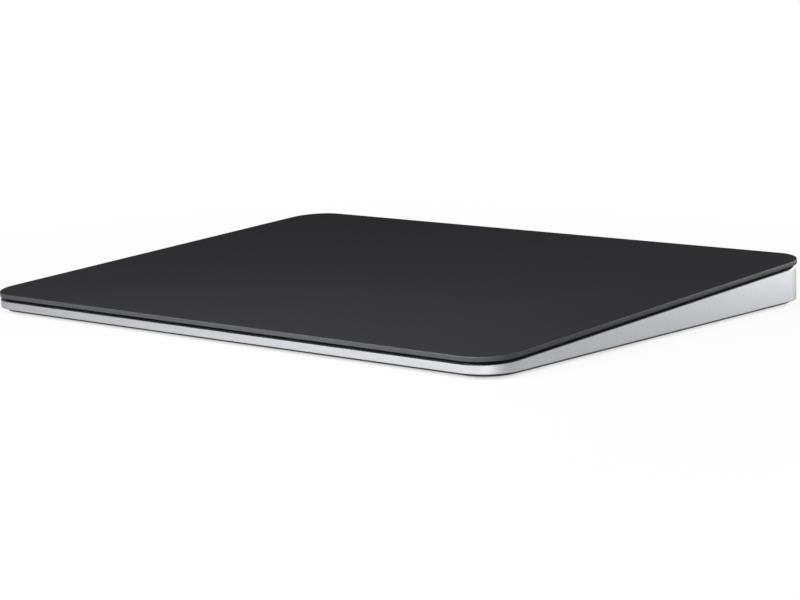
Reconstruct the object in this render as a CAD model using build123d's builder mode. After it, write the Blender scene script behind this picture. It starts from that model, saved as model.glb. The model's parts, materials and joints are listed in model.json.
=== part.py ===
from build123d import *
from math import atan2, cos, degrees, sin, tan
import os

os.makedirs("parts", exist_ok=True)

# A wedge-shaped desk trackpad in millimetres. X runs along the long edge, Y to the rear, Z up.
# The origin is on the desk, below the middle of the outline.

# Overall sizes
width = 160.0
depth = 114.9
front_height = 4.9
rear_height = 10.9

# Clearances that several pieces share
overrun = 1.0
bond_gap = 0.1
screw_gap = 0.15
thread_gap = 0.04
moving_gap = 0.2

# Touch plate: glass, adhesive and sensor board
glass_thickness = 1.1
glass_radius = 8.8
glass_edge_break = 0.15
adhesive_thickness = 0.15
sensor_thickness = 0.8
press_travel = 0.2
haptic_travel = 0.1
plate_side_clearance = 0.5
plate_clearance = 0.15

# Housing
side_set_back = 0.15
land_clearance = 0.18
wall = 1.6
rim_height = 1.3
deck_thickness = 0.8
top_break = 0.38
bottom_break = 0.12
chamber_front_margin = 26.0
chamber_side_margin = 4.6
chamber_radius = 3.0
ledge_width = 3.0
ledge_thickness = 0.55

# Bottom cover and feet
foot_lift = 0.6
cover_thickness = 0.8
cover_inset = 1.4
cover_edge_break = 0.2
cover_adhesive_thickness = 0.15
foot_diameter = 10.0
foot_recess = 0.3
foot_margin = 14.0
foot_depth_margin = 11.5

# Leaf flexures under the four corners
leaf_length = 26.0
leaf_width = 9.0
leaf_thickness = 0.4
leaf_corner = 1.2
leaf_clearance = 0.5
leaf_fixed_length = 11.0
leaf_side_margin = 5.0
leaf_end_margin = 19.4
leaf_screw_inset = 4.5
leaf_screw_floor = 0.4
leaf_post_width = 4.0
leaf_post_length = 0.8
pad_size = 7.0
pad_inset = 4.0
gauge_length = 3.0
gauge_width = 5.0
gauge_thickness = 0.1

# Haptic engine
engine_set_back = 2.0
window_side_gap = 10.4
window_end_gap = 2.7
pole_clearance = 0.1
core_length = 20.0
core_height = 1.45
core_spacing = 19.0
centre_leg_width = 3.6
outer_leg_width = 2.4
core_slot_width = 3.6
core_slot_depth = 0.9
coil_clearance = 0.3
coil_thickness = 0.7
coil_radius = 3.4
rail_side_gap = 1.5
rail_overlap = 1.0
rail_thickness = 0.4
rail_slot_margin = 3.0
bracket_overlap = 3.0
bracket_thickness = 0.5
bracket_flange = 6.5
bracket_run = 1.2
bracket_screw_margin = 4.0

# Small screws
head_diameter = 2.6
head_thickness = 0.25
shank_diameter = 1.2

# Battery, bonded under the deck
cell_side_gap = 13.25
cell_board_gap = 0.9
cell_coil_gap = 2.7
cell_thickness = 3.3
cell_edge_radius = 0.8
tape_thickness = 0.1
tape_inset = 1.5
protection_width = 3.5
protection_inset = 2.0
protection_thickness = 0.8
protection_drop = 1.45

# Main board, hung from posts along the rear wall
board_thickness = 0.8
board_side_gap = 5.25
board_wall_gap = 1.8
board_radius = 1.0
post_width = 4.0
post_end_margin = 10.5
post_port_gap = 7.5
board_head_diameter = 3.0
board_head_thickness = 0.5
board_shank_diameter = 1.4
board_shank_length = 2.6
plug_height = 0.7
plug_width = 2.6
plug_margin = 0.8
plug_front_margin = 1.1
plug_rear_gap = 0.7

# Pieces on the main board, as shares of the room that is left between its plugs and posts
shield_shares = (0.28, 0.88)
shield_width_share = 0.8
shield_height = 1.6
shield_wall = 0.2
shielded_chip_shares = [(0.12, 0.4), (0.55, 0.9)]
chip_shares = [(0.12, 0.36), (0.44, 0.6), (0.68, 0.8)]
chip_width_share = 0.5
chip_height = 0.9

# Charging port in the middle of the rear wall
port_width = 9.0
port_height = 3.2
port_wall = 0.3
port_length = 7.5
port_recess = 0.4
port_clearance = 0.1
port_roof_gap = 0.225
mouth_break = 0.15
port_back_wall = 0.6
tongue_width = 6.7
tongue_thickness = 0.7
tongue_recess = 0.8
contact_count = 12
contact_pitch = 0.5
contact_width = 0.25
contact_thickness = 0.06
contact_length = 3.4
leg_width = 1.0
leg_inset = 1.4
leg_reach = 0.4

# Power switch in the rear wall
switch_post_gap = 1.0
switch_slot_length = 10.6
switch_slot_height = 3.2
knob_length = 7.6
knob_height = 2.8
knob_recess = 0.2
knob_edge_break = 0.2
slide_length = 14.2
slide_height = 3.8
slide_corner = 0.8
slide_thickness = 0.7
slide_wall_gap = 0.1
mark_length = 2.0
mark_height = 2.0
mark_depth = 0.15
lever_width = 1.6
lever_thickness = 0.8
lever_reach = 2.5
lever_drop = 0.6
guide_thickness = 0.4
switch_body_length = 9.0
switch_body_width = 3.0
switch_body_height = 2.2
switch_groove_depth = 1.1

# Flex cables
flex_thickness = 0.12
flex_margin = 0.4
gauge_flex_width = 3.0
touch_flex_width = 13.0
touch_flex_gap = 3.1
touch_flex_reach = 3.3
touch_plug_width = 3.0
touch_window_margin = 1.5
haptic_flex_width = 5.0
haptic_flex_side_gap = 25.25
haptic_flex_cell_gap = 4.0
battery_flex_width = 3.0

# Chips on the underside of the sensor board, in a window of the deck
chip_window_length = 52.0
chip_window_share = 0.46
touch_chip_shares = [(0.04, 0.27), (0.43, 0.6), (0.77, 0.88)]
touch_chip_width_share = 0.65
touch_chip_height = 0.8

# Antenna on the inside of the cover
antenna_length = 24.0
antenna_width = 5.0
clip_width = 1.8
clip_length = 3.0
clip_thickness = 0.15

# The wedge: the glass and all that lies parallel to it tilt by this angle
tilt = atan2(rear_height - front_height, depth)
slope_length = depth / cos(tilt)
middle_height = (front_height + rear_height) / 2
plate_plane = Plane(
    origin=(0, 0, middle_height), x_dir=(1, 0, 0), z_dir=(0, -sin(tilt), cos(tilt))
)
plate_up = Axis((0, 0, middle_height), plate_plane.z_dir)

# Depths below the top of the glass, square to it, with room for the plate to travel
adhesive_top = glass_thickness
sensor_top = adhesive_top + adhesive_thickness
sensor_bottom = sensor_top + sensor_thickness
land_depth = glass_thickness + press_travel + land_clearance
plate_gap = press_travel + head_thickness + plate_clearance
deck_top = sensor_bottom + plate_gap
deck_bottom = deck_top + deck_thickness

# Heights of the bottom above the desk
cover_top = foot_lift + cover_thickness
ledge_bottom = cover_top + cover_adhesive_thickness
ledge_top = ledge_bottom + ledge_thickness

# Plan sizes
housing_width = width - 2 * side_set_back
housing_depth = depth - 2 * side_set_back
housing_radius = glass_radius - side_set_back
outer_rear = housing_depth / 2
inner_rear = outer_rear - wall
chamber_front = chamber_front_margin - housing_depth / 2
chamber_half = housing_width / 2 - chamber_side_margin
mouth_rear = outer_rear - cover_inset - ledge_width
port_front = outer_rear - port_recess
port_back = port_front - port_length
slide_rear = inner_rear - slide_wall_gap
slide_front = slide_rear - slide_thickness
switch_body_rear = slide_front - lever_reach + switch_groove_depth - moving_gap
plug_rear = switch_body_rear - switch_body_width - plug_rear_gap
plug_middle = plug_rear - plug_width / 2
board_front = plug_rear - plug_width - plug_front_margin
board_rear = inner_rear - board_wall_gap
board_middle = (board_front + board_rear) / 2
board_width = board_rear - board_front
board_length = 2 * (chamber_half - board_side_gap)


def below_glass(drop):
    """The plane that lies this far below the top of the glass and tilts with it."""
    return plate_plane.offset(-drop)


def across_slope(along):
    """The upright plane square to the slope at this distance up it."""
    return Plane(
        origin=plate_plane.from_local_coords((0, along, 0)),
        x_dir=(1, 0, 0),
        z_dir=-plate_plane.y_dir,
    )


def side_point(along, drop):
    """The (y, z) of a point this far up the slope and this far below the glass."""
    place = plate_plane.from_local_coords((0, along, -drop))
    return (place.Y, place.Z)


def height_below(rear, drop):
    """The height above the desk, at this y, of the plane this far below the glass."""
    return middle_height + rear * tan(tilt) - drop / cos(tilt)


def along_slope(rear, drop):
    """The distance up the slope of the point at this y and this far below the glass."""
    return (rear - drop * sin(tilt)) / cos(tilt)


def spread(shares, low, high):
    """The (middle, size) of each stretch between low and high that a pair of shares names."""
    room = high - low
    return [(low + room * (a + b) / 2, room * (b - a)) for a, b in shares]


def save(piece, name):
    """Labels a finished piece and writes it."""
    piece.part.label = name
    export_step(piece.part, f"parts/{name}.step")


def screw_group(seat, places, head, head_height, shank, shank_length):
    """Pan-head screws with their heads above the seat plane and their shanks below it."""
    with BuildPart() as screws:
        with BuildSketch(seat):
            with Locations(*places):
                Circle(head / 2)
        extrude(amount=head_height)
        with BuildSketch(seat):
            with Locations(*places):
                Circle(shank / 2)
        extrude(amount=-shank_length)
    return screws


# Places of the flexures, as (x, distance up the slope), and of what they carry
leaf_x = width / 2 - leaf_side_margin - leaf_length / 2
leaf_y = slope_length / 2 - leaf_end_margin
corners = [(side, end) for side in (-1, 1) for end in (-1, 1)]
leaf_places = [(side * leaf_x, end * leaf_y) for side, end in corners]
leaf_outer = leaf_x + leaf_length / 2
leaf_root = leaf_outer - leaf_fixed_length
leaf_screw_x = leaf_outer - leaf_screw_inset
pad_x = leaf_x - leaf_length / 2 + pad_inset
gauge_x = leaf_root - gauge_length / 2
leaf_screw_places = [(side * leaf_screw_x, end * leaf_y) for side, end in corners]
front_screw_y = -leaf_y * cos(tilt)
leaf_shank_length = height_below(front_screw_y, deck_top) - ledge_bottom - leaf_screw_floor

# Haptic engine, about its middle at -engine_set_back
coil_inner_width = centre_leg_width + 2 * coil_clearance
coil_inner_length = core_length + 2 * coil_clearance
coil_side = core_slot_width - 2 * coil_clearance
coil_width = coil_inner_width + 2 * coil_side
coil_length = coil_inner_length + 2 * coil_side
core_width = centre_leg_width + 2 * (core_slot_width + outer_leg_width)
window_width = core_spacing + coil_width + 2 * window_side_gap
window_length = coil_length + 2 * window_end_gap
window_rear = window_length / 2 - engine_set_back
rail_width = window_width - 2 * rail_side_gap
rail_length = core_length + 2 * rail_overlap
bracket_length = core_length + 2 * bracket_overlap
core_centres = [-core_spacing / 2, core_spacing / 2]
core_top = sensor_bottom + rail_thickness + press_travel + pole_clearance
core_bottom = core_top + core_height
bracket_screw_places = [
    (
        side * (window_width + bracket_flange) / 2,
        end * (bracket_length / 2 - bracket_screw_margin) - engine_set_back,
    )
    for side, end in corners
]

# Main board and port, hung close below the deck at the port's back
board_top = height_below(port_back, deck_bottom) - port_roof_gap - port_height
board_height = board_top - board_thickness
port_centre = board_top + port_height / 2
plug_top = board_top + plug_height
post_outer_x = board_length / 2 - post_end_margin
post_inner_x = port_width / 2 + post_port_gap
post_places = [
    (side * reach, board_middle) for side in (-1, 1) for reach in (post_inner_x, post_outer_x)
]
switch_x = post_outer_x - post_width / 2 - switch_post_gap - switch_body_length / 2

# Flex cables and the plugs that they land on
gauge_flex_x = leaf_root + (flex_margin + gauge_flex_width) / 2
touch_flex_x = (
    post_inner_x + (post_width + touch_flex_width + plug_margin) / 2 + touch_flex_gap
)
haptic_flex_x = chamber_half - haptic_flex_side_gap
cell_right = haptic_flex_x - haptic_flex_width / 2 - haptic_flex_cell_gap - protection_width
battery_flex_x = cell_right + protection_width / 2
plug_places = [
    (-gauge_flex_x, gauge_flex_width),
    (gauge_flex_x, gauge_flex_width),
    (-touch_flex_x, touch_flex_width),
    (haptic_flex_x, haptic_flex_width),
    (battery_flex_x, battery_flex_width),
]
flex_drop_y = board_front + flex_margin + flex_thickness
flex_landing = plug_top + flex_thickness / 2
drop_along = along_slope(flex_drop_y, deck_bottom)

# Touch plug and chips below the sensor board
touch_plug_along = drop_along - touch_flex_reach
plug_window_front = touch_plug_along - touch_plug_width / 2 - touch_window_margin
plug_window_rear = drop_along + touch_window_margin
chip_window_along = (window_rear + plug_window_front) / 2
chip_window_width = chip_window_share * (plug_window_front - window_rear)

# Glass: a flat plate with round corners and a fine break along its upper edge
with BuildPart() as touch_glass:
    with BuildSketch(plate_plane):
        RectangleRounded(width, slope_length, glass_radius)
    extrude(amount=-glass_thickness)
    chamfer(touch_glass.faces().sort_by(plate_up)[-1].edges(), length=glass_edge_break)
save(touch_glass, "touch_glass")

pocket_inset = wall + side_set_back
sensor_inset = pocket_inset + haptic_travel + plate_side_clearance
sensor_width = width - 2 * sensor_inset
sensor_length = slope_length - 2 * sensor_inset
sensor_radius = glass_radius - sensor_inset

with BuildPart() as glass_adhesive:
    with BuildSketch(below_glass(adhesive_top)):
        RectangleRounded(sensor_width, sensor_length, sensor_radius)
    extrude(amount=-adhesive_thickness)
save(glass_adhesive, "glass_adhesive")

with BuildPart() as sensor_board:
    with BuildSketch(below_glass(sensor_top)):
        RectangleRounded(sensor_width, sensor_length, sensor_radius)
    extrude(amount=-sensor_thickness)
save(sensor_board, "sensor_board")

with BuildPart() as sensor_chips:
    with BuildSketch(below_glass(sensor_bottom)):
        half_window = chip_window_length / 2
        for middle, size in spread(touch_chip_shares, -half_window, half_window):
            with Locations((middle, chip_window_along)):
                Rectangle(size, touch_chip_width_share * chip_window_width)
    extrude(amount=-touch_chip_height)
save(sensor_chips, "sensor_chips")

with BuildPart() as sensor_connector:
    with BuildSketch(below_glass(sensor_bottom)):
        with Locations((-touch_flex_x, touch_plug_along)):
            Rectangle(touch_flex_width + plug_margin, touch_plug_width)
    extrude(amount=-plug_height)
save(sensor_connector, "sensor_connector")

# Steel rail bonded under the sensor board, slotted over the poles that pull it sideways
with BuildPart() as haptic_rail:
    with BuildSketch(below_glass(sensor_bottom)):
        with Locations((0, -engine_set_back)):
            Rectangle(rail_width, rail_length)
        for centre in core_centres:
            with Locations((centre, -engine_set_back)):
                with GridLocations(centre_leg_width + core_slot_width, 0, 2, 1):
                    Rectangle(
                        core_slot_width / 2,
                        rail_length - 2 * rail_slot_margin,
                        mode=Mode.SUBTRACT,
                    )
    extrude(amount=-rail_thickness)
save(haptic_rail, "haptic_rail")

# Space milled out of the housing from below, with the screw posts left standing in it
with BuildPart() as chamber:
    with BuildSketch(Plane.XY.offset(ledge_bottom)):
        with Locations((0, (chamber_front + mouth_rear) / 2)):
            RectangleRounded(2 * chamber_half, mouth_rear - chamber_front, chamber_radius)
    extrude(amount=rear_height)
    with BuildSketch(Plane.XY.offset(ledge_top)):
        with Locations((0, (chamber_front + inner_rear) / 2)):
            RectangleRounded(2 * chamber_half, inner_rear - chamber_front, chamber_radius)
    extrude(amount=rear_height)
    split(bisect_by=below_glass(deck_bottom), keep=Keep.BOTTOM)
    with BuildSketch(Plane.XY.offset(board_top)):
        with Locations(*post_places):
            Rectangle(post_width, post_width)
    extrude(amount=rear_height, mode=Mode.SUBTRACT)
    with BuildSketch(below_glass(deck_bottom + leaf_post_length)):
        with Locations(*leaf_screw_places):
            Rectangle(leaf_post_width, leaf_post_width)
    extrude(amount=leaf_post_length + overrun, mode=Mode.SUBTRACT)

# Housing: one machined wedge with a sloping deck across its middle
with BuildPart() as housing:
    with BuildSketch(Plane.XY.offset(rim_height)):
        RectangleRounded(housing_width, housing_depth, housing_radius)
    extrude(amount=rear_height)
    split(bisect_by=below_glass(land_depth), keep=Keep.BOTTOM)
    chamfer(housing.faces().sort_by(plate_up)[-1].edges(), length=top_break)
    chamfer(housing.faces().sort_by(Axis.Z)[0].edges(), length=bottom_break)

    # Upper pocket for the touch plate
    with BuildSketch(below_glass(land_depth)):
        RectangleRounded(
            width - 2 * pocket_inset, slope_length - 2 * pocket_inset, glass_radius - pocket_inset
        )
    extrude(amount=land_depth - deck_top, mode=Mode.SUBTRACT)

    # Rebate for the bottom cover, and the chamber above it
    with BuildSketch(Plane.XY.offset(rim_height)):
        RectangleRounded(
            housing_width - 2 * (cover_inset - bond_gap),
            housing_depth - 2 * (cover_inset - bond_gap),
            housing_radius - cover_inset + bond_gap,
        )
    extrude(amount=ledge_bottom - rim_height, mode=Mode.SUBTRACT)
    add(chamber.part, mode=Mode.SUBTRACT)

    # Seats for the fixed ends of the flexures, and windows below their free ends
    with BuildSketch(below_glass(deck_top)):
        with Locations(*leaf_places):
            Rectangle(leaf_length + 2 * bond_gap, leaf_width + 2 * bond_gap)
    extrude(amount=-leaf_thickness, mode=Mode.SUBTRACT)
    with BuildSketch(below_glass(deck_top)):
        for side, end in corners:
            free_length = leaf_length - leaf_fixed_length + leaf_clearance
            with Locations((side * (leaf_root - free_length / 2), end * leaf_y)):
                Rectangle(free_length, leaf_width + 2 * leaf_clearance)
    extrude(amount=-deck_thickness, mode=Mode.SUBTRACT)

    # Windows for the haptic engine, the touch chips, the touch plug and the gauge flexes
    with BuildSketch(below_glass(deck_top)):
        with Locations((0, -engine_set_back)):
            Rectangle(window_width, window_length)
        with Locations((0, chip_window_along)):
            Rectangle(chip_window_length, chip_window_width)
        with Locations((-touch_flex_x, (plug_window_front + plug_window_rear) / 2)):
            Rectangle(
                touch_flex_width + plug_margin + touch_window_margin,
                plug_window_rear - plug_window_front,
            )
        with Locations((-gauge_flex_x, drop_along), (gauge_flex_x, drop_along)):
            Rectangle(gauge_flex_width + 2 * flex_margin, flex_thickness + 4 * flex_margin)
    extrude(amount=-deck_thickness - overrun, mode=Mode.SUBTRACT)

    # Screw holes
    with BuildSketch(below_glass(deck_top)):
        with Locations(*leaf_screw_places):
            Circle((shank_diameter + thread_gap) / 2)
    extrude(amount=-leaf_shank_length - bond_gap, mode=Mode.SUBTRACT)
    with BuildSketch(below_glass(deck_top)):
        with Locations(*bracket_screw_places):
            Circle((shank_diameter + thread_gap) / 2)
    extrude(amount=-deck_thickness - overrun, mode=Mode.SUBTRACT)
    with BuildSketch(Plane.XY.offset(board_top)):
        with Locations(*post_places):
            Circle((board_shank_diameter + thread_gap) / 2)
    extrude(amount=board_shank_length - board_thickness + thread_gap, mode=Mode.SUBTRACT)

    # Openings in the rear wall for the port and the power switch
    rear_face = Plane(origin=(0, outer_rear, port_centre), x_dir=(-1, 0, 0), z_dir=(0, 1, 0))
    with BuildSketch(rear_face):
        SlotOverall(port_width + 2 * port_clearance, port_height + 2 * port_clearance)
        with Locations((-switch_x, 0)):
            SlotOverall(switch_slot_length, switch_slot_height)
    extrude(amount=-wall - overrun / 2, mode=Mode.SUBTRACT)
    mouths = housing.faces().filter_by(Axis.Y).sort_by(Axis.Y)[-1].inner_wires()
    chamfer(mouths.edges(), length=mouth_break)
save(housing, "housing")

# Bottom cover with a softened lower edge and a round seat for each foot
foot_places = [
    (
        side * (width / 2 - foot_margin),
        end * (depth / 2 - foot_depth_margin),
    )
    for side, end in corners
]
cover_width = housing_width - 2 * cover_inset
cover_depth = housing_depth - 2 * cover_inset
cover_radius = housing_radius - cover_inset
with BuildPart() as bottom_cover:
    with BuildSketch(Plane.XY.offset(foot_lift)):
        RectangleRounded(cover_width, cover_depth, cover_radius)
    extrude(amount=cover_thickness)
    chamfer(bottom_cover.faces().sort_by(Axis.Z)[0].edges(), length=cover_edge_break)
    with BuildSketch(Plane.XY.offset(foot_lift)):
        with Locations(*foot_places):
            Circle(foot_diameter / 2 + bond_gap)
    extrude(amount=foot_recess, mode=Mode.SUBTRACT)
save(bottom_cover, "bottom_cover")

foot_names = ["foot_front_left", "foot_rear_left", "foot_front_right", "foot_rear_right"]
for place, foot_name in zip(foot_places, foot_names):
    with BuildPart() as foot:
        with BuildSketch(Plane.XY):
            with Locations(place):
                Circle(foot_diameter / 2)
        extrude(amount=foot_lift + foot_recess)
    save(foot, foot_name)

# Adhesive frame between the cover and the ledge of the housing
with BuildPart() as cover_adhesive:
    with BuildSketch(Plane.XY.offset(cover_top)):
        RectangleRounded(cover_width, cover_depth, cover_radius)
        RectangleRounded(
            cover_width - 2 * ledge_width,
            cover_depth - 2 * ledge_width,
            cover_radius - ledge_width,
            mode=Mode.SUBTRACT,
        )
    extrude(amount=cover_adhesive_thickness)
save(cover_adhesive, "cover_adhesive")

# Flexures: one steel leaf under each corner, screwed down at its outer end
leaf_names = ["flexure_front_left", "flexure_rear_left", "flexure_front_right", "flexure_rear_right"]
for (side, end), place, leaf_name in zip(corners, leaf_places, leaf_names):
    with BuildPart() as flexure:
        with BuildSketch(below_glass(deck_top)):
            with Locations(place):
                Rectangle(leaf_length, leaf_width)
        extrude(amount=-leaf_thickness)
        chamfer(flexure.edges().filter_by(Axis((0, 0, 0), plate_plane.z_dir)), length=leaf_corner)
        with BuildSketch(below_glass(deck_top)):
            with Locations((side * leaf_screw_x, end * leaf_y)):
                Circle((shank_diameter + screw_gap) / 2)
        extrude(amount=-leaf_thickness, mode=Mode.SUBTRACT)
    save(flexure, leaf_name)

flexure_screws = screw_group(
    below_glass(deck_top),
    leaf_screw_places,
    head_diameter,
    head_thickness,
    shank_diameter,
    leaf_shank_length,
)
save(flexure_screws, "flexure_screws")

with BuildPart() as strain_gauges:
    with BuildSketch(below_glass(deck_top)):
        for side, end in corners:
            with Locations((side * gauge_x, end * leaf_y)):
                Rectangle(gauge_length, gauge_width)
    extrude(amount=gauge_thickness)
save(strain_gauges, "strain_gauges")

# Soft pads between the free ends of the flexures and the touch plate
with BuildPart() as gel_pads:
    with BuildSketch(below_glass(deck_top)):
        for side, end in corners:
            with Locations((side * pad_x, end * leaf_y)):
                Rectangle(pad_size, pad_size)
    extrude(amount=plate_gap)
save(gel_pads, "gel_pads")

# Gauge flexes run along the deck, through a slot and down to the main board
for side, flex_name in ((-1, "gauge_flex_left"), (1, "gauge_flex_right")):
    with BuildPart() as gauge_flex:
        with BuildSketch(Plane.YZ.offset(side * gauge_flex_x)):
            with BuildLine():
                start = side_point(-leaf_y - gauge_width / 2, deck_top - flex_thickness / 2)
                over_slot = height_below(flex_drop_y, deck_top - flex_thickness / 2)
                Polyline(
                    start,
                    (flex_drop_y, over_slot),
                    (flex_drop_y, flex_landing),
                    (plug_rear, flex_landing),
                )
            trace(line_width=flex_thickness)
        extrude(amount=gauge_flex_width / 2, both=True)
    save(gauge_flex, flex_name)

# Haptic engine: two cores with coils on a steel bracket hung below the deck
with BuildPart() as haptic_bracket:
    with BuildSketch(across_slope(-engine_set_back)):
        with BuildLine():
            flange_middle = -deck_bottom - bracket_thickness / 2
            base_middle = -core_bottom - bracket_thickness / 2
            Polyline(
                (-window_width / 2 - bracket_flange, flange_middle),
                (-window_width / 2, flange_middle),
                (-window_width / 2 + bracket_run, base_middle),
                (window_width / 2 - bracket_run, base_middle),
                (window_width / 2, flange_middle),
                (window_width / 2 + bracket_flange, flange_middle),
            )
        trace(line_width=bracket_thickness)
    extrude(amount=bracket_length / 2, both=True)
    with BuildSketch(below_glass(deck_bottom)):
        with Locations(*bracket_screw_places):
            Circle((shank_diameter + screw_gap) / 2)
    extrude(amount=-bracket_thickness, mode=Mode.SUBTRACT)
save(haptic_bracket, "haptic_bracket")

haptic_screws = screw_group(
    below_glass(deck_bottom + bracket_thickness).rotated((180, 0, 0)),
    [(x, -y) for x, y in bracket_screw_places],
    head_diameter,
    head_thickness,
    shank_diameter,
    bracket_thickness + deck_thickness - bond_gap,
)
save(haptic_screws, "haptic_screws")

with BuildPart() as haptic_cores:
    with BuildSketch(across_slope(-engine_set_back)):
        for centre in core_centres:
            with Locations((centre, -core_top - core_height / 2)):
                Rectangle(core_width, core_height)
            with Locations((centre, -core_top - core_slot_depth / 2)):
                with GridLocations(centre_leg_width + core_slot_width, 0, 2, 1):
                    Rectangle(core_slot_width, core_slot_depth, mode=Mode.SUBTRACT)
    extrude(amount=core_length / 2, both=True)
save(haptic_cores, "haptic_cores")

with BuildPart() as haptic_coils:
    with BuildSketch(below_glass(core_top + core_slot_depth)):
        for centre in core_centres:
            with Locations((centre, -engine_set_back)):
                RectangleRounded(coil_width, coil_length, coil_radius)
                Rectangle(coil_inner_width, coil_inner_length, mode=Mode.SUBTRACT)
    extrude(amount=coil_thickness)
save(haptic_coils, "haptic_coils")

with BuildPart() as haptic_flex:
    flex_start = window_width / 2 + bracket_flange + flex_margin
    with BuildSketch(below_glass(deck_bottom)):
        with BuildLine():
            Polyline(
                (flex_start, -engine_set_back),
                (haptic_flex_x, -engine_set_back),
                (haptic_flex_x, drop_along),
            )
        trace(line_width=haptic_flex_width)
    extrude(amount=-flex_thickness)
    with BuildSketch(Plane.YZ.offset(haptic_flex_x)):
        with BuildLine():
            drop_start = height_below(flex_drop_y, deck_bottom + flex_thickness / 2)
            Polyline(
                (flex_drop_y, drop_start),
                (flex_drop_y, flex_landing),
                (plug_rear, flex_landing),
            )
        trace(line_width=flex_thickness)
    extrude(amount=haptic_flex_width / 2, both=True)
save(haptic_flex, "haptic_flex")

# Battery: a flat cell taped to the underside of the deck
cell_left = cell_side_gap - chamber_half
cell_front = coil_length / 2 - engine_set_back + cell_coil_gap
cell_rear = along_slope(board_front - cell_board_gap, deck_bottom)
cell_middle = ((cell_left + cell_right) / 2, (cell_front + cell_rear) / 2)
cell_length = cell_right - cell_left
cell_width = cell_rear - cell_front
cell_top = deck_bottom + tape_thickness
protection_length = cell_width - 2 * protection_inset
with BuildPart() as battery_tape:
    with BuildSketch(below_glass(deck_bottom)):
        with Locations(cell_middle):
            Rectangle(cell_length - 2 * tape_inset, cell_width - 2 * tape_inset)
    extrude(amount=-tape_thickness)
save(battery_tape, "battery_tape")

with BuildPart() as battery_cell:
    with BuildSketch(below_glass(cell_top)):
        with Locations(cell_middle):
            Rectangle(cell_length, cell_width)
    extrude(amount=-cell_thickness)
    fillet(battery_cell.edges().filter_by(Axis.X), radius=cell_edge_radius)
save(battery_cell, "battery_cell")

protection_top = cell_top + protection_drop
protection_bottom = protection_top + protection_thickness
with BuildPart() as battery_board:
    with BuildSketch(below_glass(protection_top)):
        with Locations((cell_right + protection_width / 2, cell_middle[1])):
            Rectangle(protection_width, protection_length)
    extrude(amount=-protection_thickness)
save(battery_board, "battery_board")

with BuildPart() as battery_flex:
    with BuildSketch(Plane.YZ.offset(battery_flex_x)):
        with BuildLine():
            flex_drop = protection_bottom + flex_thickness / 2
            Polyline(
                side_point(cell_middle[1], flex_drop),
                side_point(cell_middle[1] + protection_length / 2, flex_drop),
                (plug_middle - plug_width / 2, flex_landing),
                (plug_rear, flex_landing),
            )
        trace(line_width=flex_thickness)
    extrude(amount=battery_flex_width / 2, both=True)
save(battery_flex, "battery_flex")

# Main board and what it carries
leg_places = [
    (
        side * (port_width / 2 - port_wall / 2),
        port_back + leg_inset,
    )
    for side in (-1, 1)
]
with BuildPart() as main_board:
    with BuildSketch(Plane.XY.offset(board_height)):
        with Locations((0, board_middle)):
            RectangleRounded(board_length, board_width, board_radius)
        with Locations(*post_places):
            Circle((board_shank_diameter + screw_gap) / 2, mode=Mode.SUBTRACT)
        with Locations(*leg_places):
            Rectangle(port_wall + screw_gap, leg_width + screw_gap, mode=Mode.SUBTRACT)
    extrude(amount=board_thickness)
save(main_board, "main_board")

board_screws = screw_group(
    Plane.XY.offset(board_height).rotated((180, 0, 0)),
    [(x, -y) for x, y in post_places],
    board_head_diameter,
    board_head_thickness,
    board_shank_diameter,
    board_shank_length,
)
save(board_screws, "board_screws")

room_left = post_width / 2 - post_outer_x
room_right = -touch_flex_x - (touch_flex_width + plug_margin) / 2
shield_x, shield_length = spread([shield_shares], room_left, room_right)[0]
shield_width = shield_width_share * board_width
with BuildPart() as board_shield:
    with BuildSketch(Plane.XY.offset(board_top)):
        with Locations((shield_x, board_middle)):
            Rectangle(shield_length, shield_width)
    extrude(amount=shield_height)
    with BuildSketch(Plane.XY.offset(board_top)):
        with Locations((shield_x, board_middle)):
            Rectangle(shield_length - 2 * shield_wall, shield_width - 2 * shield_wall)
    extrude(amount=shield_height - shield_wall, mode=Mode.SUBTRACT)
save(board_shield, "board_shield")

chip_room_left = post_inner_x + post_width / 2
chip_room_right = battery_flex_x - (battery_flex_width + plug_margin) / 2
shielded = spread(
    shielded_chip_shares, shield_x - shield_length / 2, shield_x + shield_length / 2
)
chips = shielded + spread(chip_shares, chip_room_left, chip_room_right)
with BuildPart() as board_chips:
    with BuildSketch(Plane.XY.offset(board_top)):
        for middle, size in chips:
            with Locations((middle, board_middle)):
                Rectangle(size, chip_width_share * board_width)
    extrude(amount=chip_height)
save(board_chips, "board_chips")

with BuildPart() as board_connectors:
    with BuildSketch(Plane.XY.offset(board_top)):
        for reach, breadth in plug_places:
            with Locations((reach, plug_middle)):
                Rectangle(breadth + plug_margin, plug_width)
    extrude(amount=plug_height)
save(board_connectors, "board_connectors")

# Touch flex: down from the plug under the sensor board to the main board
with BuildPart() as touch_flex:
    with BuildSketch(Plane.YZ.offset(-touch_flex_x)):
        with BuildLine():
            flex_drop = sensor_bottom + plug_height + flex_thickness / 2
            Polyline(
                side_point(touch_plug_along - touch_plug_width / 2, flex_drop),
                (flex_drop_y, height_below(flex_drop_y, flex_drop)),
                (flex_drop_y, flex_landing),
                (plug_rear, flex_landing),
            )
        trace(line_width=flex_thickness)
    extrude(amount=touch_flex_width / 2, both=True)
save(touch_flex, "touch_flex")

# Charging port: a drawn steel shell around a moulded insert with a contact tongue
port_plane = Plane(origin=(0, port_back, port_centre), x_dir=(-1, 0, 0), z_dir=(0, 1, 0))
port_bore_width = port_width - 2 * port_wall
port_bore_height = port_height - 2 * port_wall
with BuildPart() as charge_port_shell:
    with BuildSketch(port_plane):
        SlotOverall(port_width, port_height)
        SlotOverall(port_bore_width, port_bore_height, mode=Mode.SUBTRACT)
    extrude(amount=port_length)
    with BuildSketch(Plane.XY.offset(port_centre)):
        with Locations(*leg_places):
            Rectangle(port_wall, leg_width)
    extrude(amount=board_height - leg_reach - port_centre)
save(charge_port_shell, "charge_port_shell")

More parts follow.
